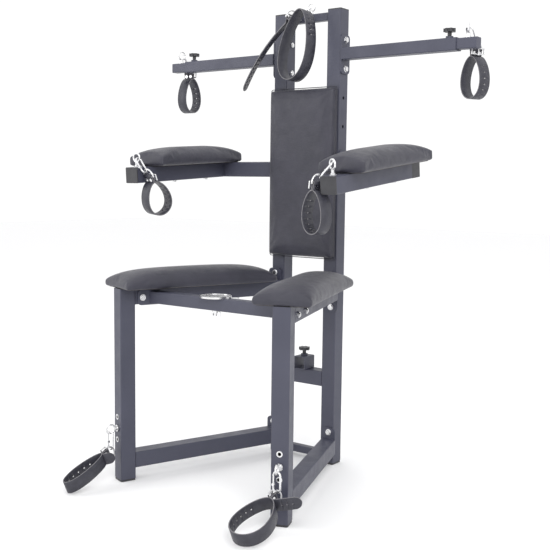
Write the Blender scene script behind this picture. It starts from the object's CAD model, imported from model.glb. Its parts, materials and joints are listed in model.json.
"""Looks of a padded restraint chair on a square-tube frame, built round its CAD model. Metres, +Z up."""

import json
import math
import random

import bmesh
import bpy
from mathutils import Matrix, Vector


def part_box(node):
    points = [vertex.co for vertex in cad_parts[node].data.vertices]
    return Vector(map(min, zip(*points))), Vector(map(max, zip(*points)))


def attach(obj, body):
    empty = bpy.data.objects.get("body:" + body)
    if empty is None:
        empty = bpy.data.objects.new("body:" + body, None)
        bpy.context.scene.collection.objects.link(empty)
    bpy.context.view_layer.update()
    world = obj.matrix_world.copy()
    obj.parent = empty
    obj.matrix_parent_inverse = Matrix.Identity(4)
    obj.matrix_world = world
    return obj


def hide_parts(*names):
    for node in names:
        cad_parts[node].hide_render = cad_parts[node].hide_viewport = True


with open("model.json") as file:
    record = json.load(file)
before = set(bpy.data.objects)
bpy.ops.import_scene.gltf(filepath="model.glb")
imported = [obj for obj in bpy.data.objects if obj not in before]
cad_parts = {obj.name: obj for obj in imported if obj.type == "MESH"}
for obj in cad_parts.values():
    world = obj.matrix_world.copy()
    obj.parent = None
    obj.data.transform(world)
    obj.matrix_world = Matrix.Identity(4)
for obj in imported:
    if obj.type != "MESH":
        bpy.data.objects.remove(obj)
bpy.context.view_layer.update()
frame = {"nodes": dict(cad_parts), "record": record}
nodes = frame["nodes"]
record = frame["record"]
joints = {j["name"]: j for j in record["behaviour"]["joints"]}
MM = 0.001


# ---- Camera -------------------------------------------------------------------

CAMERA_AT = (1.3844, -1.7388, 0.7485)
YAW, PITCH, ROLL = math.radians(36.55), math.radians(-5.82), math.radians(0.67)

camera = bpy.data.objects.new("camera", bpy.data.cameras.new("camera"))
bpy.context.collection.objects.link(camera)
turn = (
    Matrix.Rotation(YAW, 4, "Z")
    @ Matrix.Rotation(math.pi / 2 + PITCH, 4, "X")
    @ Matrix.Rotation(ROLL, 4, "Z")
)
camera.matrix_world = Matrix.Translation(CAMERA_AT) @ turn
camera.data.sensor_width = 36.0
camera.data.lens = 59.65
camera.data.clip_end = 50
bpy.context.scene.camera = camera


# ---- Materials ----------------------------------------------------------------


class Nodes:
    """A material's node tree, with short ways to add and link nodes."""

    def __init__(self, name):
        self.mat = bpy.data.materials.new(name)
        self.mat.use_nodes = True
        self.tree = self.mat.node_tree
        self.bsdf = self.tree.nodes["Principled BSDF"]
        self.coord = self.tree.nodes.new("ShaderNodeTexCoord").outputs["Object"]

    def link(self, a, b):
        self.tree.links.new(a, b)

    def noise(self, scale, detail=3.0, rough=0.5, stretch=None):
        n = self.tree.nodes.new("ShaderNodeTexNoise")
        n.inputs["Scale"].default_value = scale
        n.inputs["Detail"].default_value = detail
        n.inputs["Roughness"].default_value = rough
        source = self.coord
        if stretch:
            m = self.tree.nodes.new("ShaderNodeMapping")
            m.inputs["Scale"].default_value = stretch
            self.link(self.coord, m.inputs["Vector"])
            source = m.outputs["Vector"]
        self.link(source, n.inputs["Vector"])
        return n.outputs["Fac"]

    def cells(self, scale):
        n = self.tree.nodes.new("ShaderNodeTexVoronoi")
        n.feature = "DISTANCE_TO_EDGE"
        n.inputs["Scale"].default_value = scale
        self.link(self.coord, n.inputs["Vector"])
        return n.outputs["Distance"]

    def ramp(self, fac, stops):
        n = self.tree.nodes.new("ShaderNodeValToRGB")
        e = n.color_ramp.elements
        while len(e) < len(stops):
            e.new(0.5)
        for item, (at, value) in zip(e, stops):
            item.position = at
            item.color = (*value, 1) if isinstance(value, tuple) else (value,) * 3 + (1,)
        self.link(fac, n.inputs["Fac"])
        return n.outputs["Color"]

    def bump(self, height, strength, distance, under=None):
        n = self.tree.nodes.new("ShaderNodeBump")
        n.inputs["Strength"].default_value = strength
        n.inputs["Distance"].default_value = distance
        self.link(height, n.inputs["Height"])
        if under is not None:
            self.link(under, n.inputs["Normal"])
        return n.outputs["Normal"]

    def put(self, name, value):
        if hasattr(value, "is_linked"):
            self.link(value, self.bsdf.inputs[name])
        else:
            self.bsdf.inputs[name].default_value = value


def powder_coat():
    n = Nodes("powder_coat")
    mottle = n.noise(9, 4)
    n.put("Base Color", n.ramp(mottle, [(0.3, (0.044, 0.046, 0.070)), (0.7, (0.056, 0.058, 0.086))]))
    n.put("Roughness", n.ramp(n.noise(35, 5), [(0.3, 0.40), (0.7, 0.52)]))
    n.put("Specular IOR Level", 0.5)
    fine = n.bump(n.noise(1100, 2), 0.35, 0.00035)
    n.put("Normal", n.bump(n.noise(140, 3), 0.10, 0.0012, fine))
    return n.mat


def pad_leather():
    n = Nodes("pad_leather")
    tone = n.noise(14, 5, 0.6)
    n.put("Base Color", n.ramp(tone, [(0.3, (0.020, 0.020, 0.032)), (0.75, (0.034, 0.033, 0.050))]))
    n.put("Roughness", n.ramp(n.noise(50, 4), [(0.25, 0.42), (0.75, 0.58)]))
    n.put("Specular IOR Level", 0.55)
    n.put("Sheen Weight", 0.1)
    n.put("Sheen Roughness", 0.45)
    grain = n.ramp(n.cells(620), [(0.0, 0.0), (0.28, 1.0)])
    fine = n.bump(grain, 0.32, 0.00035)
    soft = n.bump(n.noise(42, 5, 0.55, (1, 1, 1.6)), 0.32, 0.003, fine)
    n.put("Normal", n.bump(n.noise(9, 3), 0.30, 0.012, soft))
    return n.mat


def strap_leather():
    n = Nodes("strap_leather")
    n.put("Base Color", n.ramp(n.noise(60, 5), [(0.3, (0.024, 0.024, 0.034)), (0.75, (0.042, 0.042, 0.056))]))
    n.put("Roughness", n.ramp(n.noise(120, 4), [(0.25, 0.34), (0.75, 0.5)]))
    grain = n.ramp(n.cells(1100), [(0.0, 0.0), (0.3, 1.0)])
    fine = n.bump(grain, 0.25, 0.00025)
    n.put("Normal", n.bump(n.noise(90, 4), 0.25, 0.0012, fine))
    return n.mat


def cut_edge():
    n = Nodes("strap_cut_edge")
    n.put("Base Color", n.ramp(n.noise(400, 4), [(0.3, (0.10, 0.10, 0.11)), (0.7, (0.24, 0.23, 0.24))]))
    n.put("Roughness", 0.62)
    n.put("Normal", n.bump(n.noise(900, 3), 0.5, 0.0004))
    return n.mat


def zinc():
    n = Nodes("bright_zinc")
    n.put("Base Color", n.ramp(n.noise(70, 4), [(0.3, (0.72, 0.72, 0.736)), (0.7, (0.80, 0.80, 0.80))]))
    n.put("Metallic", 1.0)
    n.put("Roughness", n.ramp(n.noise(180, 4), [(0.3, 0.16), (0.7, 0.34)]))
    n.put("Normal", n.bump(n.noise(260, 3), 0.12, 0.0006))
    return n.mat


def plastic():
    n = Nodes("black_plastic")
    n.put("Base Color", n.ramp(n.noise(30, 3), [(0.3, (0.022, 0.022, 0.026)), (0.7, (0.034, 0.034, 0.039))]))
    n.put("Roughness", n.ramp(n.noise(200, 3), [(0.3, 0.38), (0.7, 0.5)]))
    n.put("Normal", n.bump(n.noise(1300, 2), 0.2, 0.0002))
    return n.mat


def plywood():
    n = Nodes("plywood")
    grain = n.noise(30, 6, 0.6, (1, 12, 12))
    n.put("Base Color", n.ramp(grain, [(0.3, (0.035, 0.03, 0.028)), (0.7, (0.06, 0.05, 0.045))]))
    n.put("Roughness", 0.7)
    n.put("Normal", n.bump(grain, 0.3, 0.0008))
    return n.mat


COAT, PAD, STRAP, EDGE = powder_coat(), pad_leather(), strap_leather(), cut_edge()
ZINC, PLASTIC, PLY = zinc(), plastic(), plywood()


def material_for(name):
    """The material of a CAD node, by its name."""
    if name.endswith("_pad") or "_pad_" in name:
        return PAD
    if "strap" in name:
        return STRAP
    if name == "pad_boards":
        return PLY
    if name.startswith("clamp_knob") or name == "tube_caps":
        return PLASTIC
    if any(w in name for w in ("hook", "buckle", "bolt", "inserts", "wing_nut", "disc")):
        return ZINC
    return COAT


for name, obj in nodes.items():
    if obj.material_slots:
        for slot in obj.material_slots:
            slot.material = material_for(name)
    else:
        obj.data.materials.append(material_for(name))


# ---- Mesh helpers -------------------------------------------------------------


def new_object(name, mesh, mats):
    obj = bpy.data.objects.new(name, mesh)
    bpy.context.collection.objects.link(obj)
    for m in mats:
        mesh.materials.append(m)
    return obj


def apply_modifiers(obj):
    """Bakes an object's modifiers into its mesh."""
    graph = bpy.context.evaluated_depsgraph_get()
    mesh = bpy.data.meshes.new_from_object(obj.evaluated_get(graph))
    obj.modifiers.clear()
    obj.data = mesh


def smooth(obj):
    for p in obj.data.polygons:
        p.use_smooth = True


# ---- Pads ---------------------------------------------------------------------

GRID = 25  # points across a pad
UNDER = 0.0006  # height of the pad's underside over its board
PIN_BELOW = 0.004  # points lower than this stay on the board
CLOTH_FRAMES = 20


def pad_body(name, w, l, profile, place, cap):
    """A cushion: a crowned grid with straight sides, closed below, then inflated as cloth and fitted back."""
    nu, nv = GRID, max(GRID, int(l / w * GRID) | 1)
    bm = bmesh.new()
    top = {}
    for i in range(nu):
        for j in range(nv):
            u, v = 2 * i / (nu - 1) - 1, 2 * j / (nv - 1) - 1
            x, y, z = profile(u, v, w, l)
            top[i, j] = bm.verts.new((x, y, z))
    for i in range(nu - 1):
        for j in range(nv - 1):
            bm.faces.new((top[i, j], top[i + 1, j], top[i + 1, j + 1], top[i, j + 1]))
    rim = (
        [(i, 0) for i in range(nu)]
        + [(nu - 1, j) for j in range(1, nv)]
        + [(i, nv - 1) for i in range(nu - 2, -1, -1)]
        + [(0, j) for j in range(nv - 2, 0, -1)]
    )
    low = [bm.verts.new((top[k].co.x * 0.985, top[k].co.y * 0.995, UNDER)) for k in rim]
    for a in range(len(rim)):
        b = (a + 1) % len(rim)
        bm.faces.new((top[rim[b]], top[rim[a]], low[a], low[b]))
    bm.faces.new(low)
    bmesh.ops.recalc_face_normals(bm, faces=bm.faces)
    mesh = bpy.data.meshes.new(name)
    bm.to_mesh(mesh)
    bm.free()
    obj = new_object(name, mesh, [PAD])
    remesh = obj.modifiers.new("remesh", "REMESH")
    remesh.mode = "VOXEL"
    remesh.voxel_size = 0.005
    apply_modifiers(obj)
    relax = obj.modifiers.new("relax", "SMOOTH")
    relax.factor, relax.iterations = 0.5, 3
    apply_modifiers(obj)
    inflate(obj, cap)
    sub = obj.modifiers.new("sub", "SUBSURF")
    sub.levels = sub.render_levels = 1
    apply_modifiers(obj)
    obj.data.transform(place)
    smooth(obj)
    return obj


def inflate(obj, cap):
    """Swells a pad as cloth under pressure. No point moves further than cap."""
    before = [v.co.copy() for v in obj.data.vertices]
    pins = obj.vertex_groups.new(name="pins")
    pins.add([v.index for v in obj.data.vertices if v.co.z < PIN_BELOW], 1.0, "REPLACE")
    cloth = obj.modifiers.new("cloth", "CLOTH")
    st = cloth.settings
    st.use_pressure = True
    st.uniform_pressure_force = 4
    st.effector_weights.gravity = 0
    st.vertex_group_mass = "pins"
    st.quality = 5
    st.tension_stiffness = st.compression_stiffness = 12
    st.bending_stiffness = 0.4
    cloth.point_cache.frame_start, cloth.point_cache.frame_end = 1, CLOTH_FRAMES
    scene = bpy.context.scene
    for f in range(1, CLOTH_FRAMES + 1):
        scene.frame_set(f)
    apply_modifiers(obj)
    scene.frame_set(1)
    for v, old in zip(obj.data.vertices, before):
        step = v.co - old
        if step.length > cap:
            v.co = old + step * (cap / step.length)


def crowned(edge, crown, pull):
    """Height over the board: low edges, a full crown, and sides that pull in between the corners."""

    def shape(u, v, w, l):
        fall = (1 - abs(u) ** 2.6) * (1 - abs(v) ** 5.0)
        z = edge + (crown - edge) * max(0.0, fall) ** 0.62
        x = u * (w / 2 - pull * (1 - v * v) * abs(u) ** 3)
        y = v * (l / 2 - pull * (1 - u * u) * abs(v) ** 3)
        # Gathers at the corners, where the cover is folded under
        corner = max(0.0, abs(u) - 0.55) * max(0.0, abs(v) - 0.82) * 12
        z -= 0.0022 * corner * (1 + math.sin(34 * u + 9 * v)) * 0.5
        return x, y, z

    return shape


def slab(thick):
    """Height over the board: flat, with softly rounded edges."""

    def shape(u, v, w, l):
        fall = (1 - abs(u) ** 9) * (1 - abs(v) ** 16)
        return u * w / 2, v * l / 2, thick * (0.72 + 0.28 * max(0.0, fall) ** 0.5)

    return shape


LEG = Vector((0.2436, -0.16575, 0))  # right front leg's centre line
POST_X, POST_Y = 0.0837, 0.27575  # where the seat rail's line meets the uprights
SPLAY = math.atan((LEG.x - POST_X) / (POST_Y - LEG.y))
SEAT_H = 0.484  # top of the seat boards
SEAT_L, SEAT_W, SEAT_MIDDLE = 0.436, 0.137, -0.027 + 0.220
ARM_AXIS_H, ARM_X, ARM_TOP = 0.7835, 0.298, 0.020  # arm tube at the uprights, then the pad on it
ARM_L, ARM_W, ARM_MIDDLE = 0.327, 0.122, -0.020 - 0.343 + 0.0495 + 0.1655
ARM_DROOP = {-1: 3.5, 1: 6.5}
BACK_L, BACK_W, BACK_T, BACK_MIDDLE = 0.440, 0.206, 0.0305, 0.551 + 0.221
TUBE_HALF = 0.020


def side_flip(side):
    return Matrix.Scale(side, 4, (1, 0, 0))


def seat_place(side):
    """Where a seat pad lies: along its splayed rail, back from the leg."""
    m = Matrix.Translation(LEG) @ Matrix.Rotation(SPLAY, 4, "Z")
    return side_flip(side) @ m @ Matrix.Translation((0, SEAT_MIDDLE, SEAT_H))


def arm_place(side):
    """Where an arm pad lies: on its arm, which droops a little to the front."""
    m = Matrix.Translation((0, POST_Y, ARM_AXIS_H)) @ Matrix.Rotation(math.radians(ARM_DROOP[side]), 4, "X")
    return side_flip(side) @ m @ Matrix.Translation((ARM_X, ARM_MIDDLE, ARM_TOP))


def flip_if_mirrored(obj, place):
    if place.determinant() < 0:
        obj.data.flip_normals()


pads = []
for side, word in ((-1, "left"), (1, "right")):
    place = seat_place(side)
    pad = pad_body("seat_cushion_" + word, SEAT_W, SEAT_L, crowned(0.019, 0.0455, 0.002), place, 0.004)
    flip_if_mirrored(pad, place)
    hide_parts("seat_pad_" + word)
    pads.append((pad, 0.8))
    place = arm_place(side)
    pad = pad_body("arm_cushion_" + word, ARM_W, ARM_L, crowned(0.026, 0.0445, 0.002), place, 0.004)
    flip_if_mirrored(pad, place)
    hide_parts("arm_pad_" + word)
    pads.append((pad, 0.8))
place = Matrix.Translation((0, POST_Y - TUBE_HALF, BACK_MIDDLE)) @ Matrix.Rotation(math.pi / 2, 4, "X")
pad = pad_body("back_cushion", BACK_W, BACK_L, slab(BACK_T), place, 0.002)
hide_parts("back_pad")
pads.append((pad, 0.9))
for pad, fill in pads:
    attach(pad, "frame")


# ---- Straps -------------------------------------------------------------------

# Millimetres, as in the CAD model
STRAP_W = 32
STRAP_T = 3.0 * MM
DEE_HALF, DEE_H, FOLD = 18.5, 19.0, 16.0  # dee ring's half width and height, and the fold's reach
TAIL_LEAD = 14.0  # length over which a twisted free end turns
EGG = 0.22  # how much narrower a loop is at its top
HOLE_R, HOLE_STEP = 2.1, 12
LOOP_STEPS, TAIL_STEPS = 96, 48
EYE_R = 2.0 + 1.7  # leather's middle line round the dee ring's bar
LAYER_GAP = 1.55  # from the fold's middle to each of its two layers


def three_turns(t):
    """Turns about Z, X and Z, in degrees."""
    a, b, c = (math.radians(x) for x in t)
    return Matrix.Rotation(a, 4, "Z") @ Matrix.Rotation(b, 4, "X") @ Matrix.Rotation(c, 4, "Z")


def loop_pt(w, h, t):
    """A point of an egg-shaped loop, t degrees round from its top."""
    t = math.radians(t)
    return Vector((w / 2 * math.sin(t) * (1 - EGG * math.cos(t)), h / 2 * math.cos(t)))


def loop_out(w, h, t):
    """The outward direction at that point."""
    t = math.radians(t)
    dx = w / 2 * (math.cos(t) - EGG * math.cos(2 * t))
    dz = -h / 2 * math.sin(t)
    return Vector((-dz, dx)).normalized()


def band(name, path, width, closed, hole_at=(), thick=STRAP_T, round_end=False):
    """A leather band along a path of (x, z) points in millimetres, across Y, with real punched holes."""
    half, t = width / 2 * MM, thick / 2
    bevel = 0.5 * MM
    pts = [Vector((p[0] * MM, 0, p[1] * MM)) for p in path]
    n = len(pts)
    bm = bmesh.new()
    rings = []
    for i, p in enumerate(pts):
        a = pts[(i - 1) % n] if closed or i else p
        b = pts[(i + 1) % n] if closed or i < n - 1 else p
        tan = (b - a).normalized()
        out = Vector((tan.z, 0, -tan.x))
        hw = half
        if round_end:
            left = (pts[-1] - p).length
            if left < half:
                hw = half * math.sqrt(max(0.02, 1 - ((half - left) / half) ** 2))
        section = [
            (-hw, -t + bevel), (-hw + bevel, -t), (hw - bevel, -t), (hw, -t + bevel),
            (hw, t - bevel), (hw - bevel, t), (-hw + bevel, t), (-hw, t - bevel),
        ]
        rings.append([bm.verts.new(p + Vector((0, y, 0)) + out * o) for y, o in section])
    count = n if closed else n - 1
    for i in range(count):
        r, s = rings[i], rings[(i + 1) % n]
        for k in range(8):
            f = bm.faces.new((r[k], r[(k + 1) % 8], s[(k + 1) % 8], s[k]))
            f.material_index = 1 if k in (3, 7) else 0
    if not closed:
        bm.faces.new(rings[0][::-1]).material_index = 1
        bm.faces.new(rings[-1]).material_index = 1
    bmesh.ops.recalc_face_normals(bm, faces=bm.faces)
    mesh = bpy.data.meshes.new(name)
    bm.to_mesh(mesh)
    bm.free()
    obj = new_object(name, mesh, [STRAP, EDGE])
    if hole_at:
        cut = bmesh.new()
        for x, z, heading in hole_at:
            m = (
                Matrix.Translation((x * MM, 0, z * MM))
                @ Matrix.Rotation(-math.radians(heading), 4, "Y")
            )
            bmesh.ops.create_cone(
                cut, cap_ends=True, segments=16, radius1=HOLE_R * MM, radius2=HOLE_R * MM,
                depth=9 * MM, matrix=m,
            )
        cm = bpy.data.meshes.new(name + "_cut")
        cut.to_mesh(cm)
        cut.free()
        cutter = new_object(name + "_cut", cm, [EDGE])
        boolean = obj.modifiers.new("holes", "BOOLEAN")
        boolean.operation, boolean.solver, boolean.object = "DIFFERENCE", "EXACT", cutter
        apply_modifiers(obj)
        bpy.data.objects.remove(cutter)
    smooth(obj)
    return obj


# Loop width, loop height, angle of the fold, start of the free end from the fold's
# eye, its length, heading and turn, the side the punched holes are on, and how far
# the free end is twisted out of the loop's plane
SIZES = {
    "neck": (110, 180, -46, (-2, -5.5), 222, 232, 26, 1, 38),
    "wrist": (63, 98, 0, (0, 0), 0, 0, 1, 1, 0),
    "arm_left": (68, 88, 0, (0, 0), 0, 0, 1, 1, 0),
    "arm_right": (62, 96, 4, (0, 0), 0, 0, 1, -1, 0),
    "ankle_left": (40, 120, 0, (7, -18), 26, 40, 14, -1, 0),
    "ankle_right": (82, 118, 0, (8, -18), 62, 24, 12, -1, 0),
}
# Turns about Z, X and Z, and the place of the hook on the dee ring's bow
TURNS = {
    "neck": ((118.1, 9.8, -135.2), 45),
    "wrist_left": ((90, 0, 0), 0),
    "wrist_right": ((-22, 0, 0), -30),
    "arm_left": ((0, 25, 79), 45),
    "arm_right": ((-14, 0, 0), 30),
    "ankle_left": ((175, 67, 180), -45),
    "ankle_right": ((178, 67, 180), -60),
}


def strap_matrix(key):
    """Where a strap's fold hangs from its joint, and how it is turned."""
    kind, _, side = key.partition("_")
    joint = joints[kind + "_strap_swing" + ("_" + side if side else "")]
    turns, phi = TURNS[key]
    p = math.radians(phi)
    drop = Vector((0, -DEE_HALF * math.sin(p), DEE_HALF - DEE_H - DEE_HALF * math.cos(p))) * MM
    return Matrix.Translation(joint["pos_m"]) @ three_turns(turns) @ Matrix.Translation(drop)


def free_end(key, start, length, head, bend, twist):
    """A strap's free end: an arc with a rounded tip, twisted about its start where twist isn't 0."""
    radius = length / math.radians(bend)
    a0 = math.radians(head)
    line, marks = [], []
    for k in range(TAIL_STEPS + 1):
        a = math.radians(head + bend * k / TAIL_STEPS)
        line.append(radius * Vector((math.sin(a) - math.sin(a0), math.cos(a0) - math.cos(a))))
    if length > 50:
        for k in range(7 if length > 100 else 3):
            q = TAIL_STEPS * (1 - (20 + HOLE_STEP * k) / length)
            c = line[int(q)].lerp(line[int(q) + 1], q - int(q))
            marks.append((c.x, c.y, head + bend * q / TAIL_STEPS))
    obj = band("strap_end_" + key, line, STRAP_W - 0.6, False, marks, round_end=True)
    lead = TAIL_LEAD * MM
    for v in obj.data.vertices:
        part = min(1.0, max(0.0, Vector((v.co.x, v.co.z)).length / lead))
        x, y = v.co.x, v.co.y
        a = math.radians(twist) * part
        v.co.x, v.co.y = x * math.cos(a) - y * math.sin(a), x * math.sin(a) + y * math.cos(a)
    obj.data.transform(Matrix.Translation((start.x * MM, 0, start.y * MM)))
    return obj


def make_strap(key):
    """A strap: its loop, its fold round the dee ring and, where it shows, its free end."""
    kind, _, side = key.partition("_")
    suffix = "_" + side if side else ""
    w, h, fold, start, tail_l, head, tail_turn, hole_side, twist = SIZES.get(key) or SIZES[kind]
    eye = loop_pt(w, h, fold) + FOLD * loop_out(w, h, fold)
    rng = random.Random(len(key) * 7 + int(w))
    phase = rng.random() * 6
    loop = []
    for i in range(LOOP_STEPS):
        t = 360 * i / LOOP_STEPS
        p = loop_pt(w, h, t) - eye
        wave = 0.35 * math.sin(3 * math.radians(t) + phase)
        loop.append(p + loop_out(w, h, t) * wave)
    holes = []
    for k in range(7):
        t = fold + hole_side * (62 + k * HOLE_STEP * 360 / (math.pi * (w + h) / 2 * 1.02))
        p, n = loop_pt(w, h, t) - eye, loop_out(w, h, t)
        holes.append((p.x, p.y, math.degrees(math.atan2(n.y, n.x)) - 90))
    m = strap_matrix(key)
    made = [band("strap_loop_" + key, loop, STRAP_W, True, holes)]
    # Fold round the dee ring: two layers side by side with a round eye
    n = loop_out(w, h, fold)
    across = Vector((n.y, -n.x))
    reach = FOLD + 0.5
    wrap = []
    for k in range(5):
        wrap.append(-n * reach * (1 - k / 5) + across * LAYER_GAP * (1 + 0.6 * (k / 5)))
    for k in range(13):
        a = math.radians(-50 + 280 * k / 12)
        wrap.append(across * EYE_R * math.cos(a) + n * EYE_R * math.sin(a))
    for k in range(5):
        wrap.append(-n * reach * ((k + 1) / 5) - across * LAYER_GAP * (1 + 0.6 * (1 - (k + 1) / 5)))
    made.append(band("strap_fold_" + key, wrap, STRAP_W, False))
    if tail_l:
        made.append(free_end(key, Vector(start), tail_l, head, tail_turn, twist))
    for obj in made:
        obj.data.transform(m)
        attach(obj, kind + "_strap" + suffix)
    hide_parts(kind + "_strap" + suffix)


for key in TURNS:
    make_strap(key)


# ---- Small trim ---------------------------------------------------------------


def back_seam():
    """A welt that runs round the back pad's sides."""
    lo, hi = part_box("back_pad")
    y = hi[1] - 0.011
    corner_r, proud = 0.006, 0.0002
    x1, z0, z1 = hi[0] + proud - corner_r, lo[2] - proud + corner_r, hi[2] + proud - corner_r
    pts = []
    for cx, cz, a0 in ((x1, z1, 0), (-x1, z1, 90), (-x1, z0, 180), (x1, z0, 270)):
        for k in range(7):
            a = math.radians(a0 + 15 * k)
            pts.append((cx + corner_r * math.cos(a), y, cz + corner_r * math.sin(a)))
    curve = bpy.data.curves.new("back_welt", "CURVE")
    curve.dimensions = "3D"
    line = curve.splines.new("POLY")
    line.points.add(len(pts) - 1)
    for p, q in zip(line.points, pts):
        p.co = (*q, 1)
    line.use_cyclic_u = True
    curve.bevel_depth = 0.0011
    curve.bevel_resolution = 3
    tmp = bpy.data.objects.new("back_welt_curve", curve)
    bpy.context.collection.objects.link(tmp)
    graph = bpy.context.evaluated_depsgraph_get()
    mesh = bpy.data.meshes.new_from_object(tmp.evaluated_get(graph))
    bpy.data.objects.remove(tmp)
    obj = new_object("back_welt", mesh, [PAD])
    smooth(obj)
    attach(obj, "frame")


back_seam()


# ---- Floor and light ----------------------------------------------------------

bm = bmesh.new()
bmesh.ops.create_grid(bm, x_segments=2, y_segments=2, size=12)
mesh = bpy.data.meshes.new("floor")
bm.to_mesh(mesh)
bm.free()
floor_nodes = Nodes("floor")
floor_nodes.put("Base Color", (0.93, 0.93, 0.935, 1))
floor_nodes.put("Roughness", 0.9)
floor_nodes.put("Specular IOR Level", 0.1)
floor = new_object("floor", mesh, [floor_nodes.mat])
floor.location.z = -0.0005

world = bpy.data.worlds.new("studio")
bpy.context.scene.world = world
world.use_nodes = True
world.node_tree.nodes["Background"].inputs["Color"].default_value = (1, 1, 1, 1)
world.node_tree.nodes["Background"].inputs["Strength"].default_value = 1.06
bpy.context.scene.view_settings.view_transform = "Standard"


def area(name, at, to, size, power):
    """A square area light that faces a point."""
    light = bpy.data.lights.new(name, "AREA")
    light.shape, light.size, light.energy = "SQUARE", size, power
    obj = bpy.data.objects.new(name, light)
    bpy.context.collection.objects.link(obj)
    obj.location = at
    obj.rotation_euler = (Vector(to) - Vector(at)).to_track_quat("-Z", "Y").to_euler()


area("key", (2.6, -2.4, 2.8), (0, 0, 0.6), 2.2, 70)
area("fill", (-2.8, -2.6, 1.8), (0, 0, 0.6), 2.4, 35)
area("top", (0, 0.3, 3.4), (0, 0, 0.5), 2.5, 12)
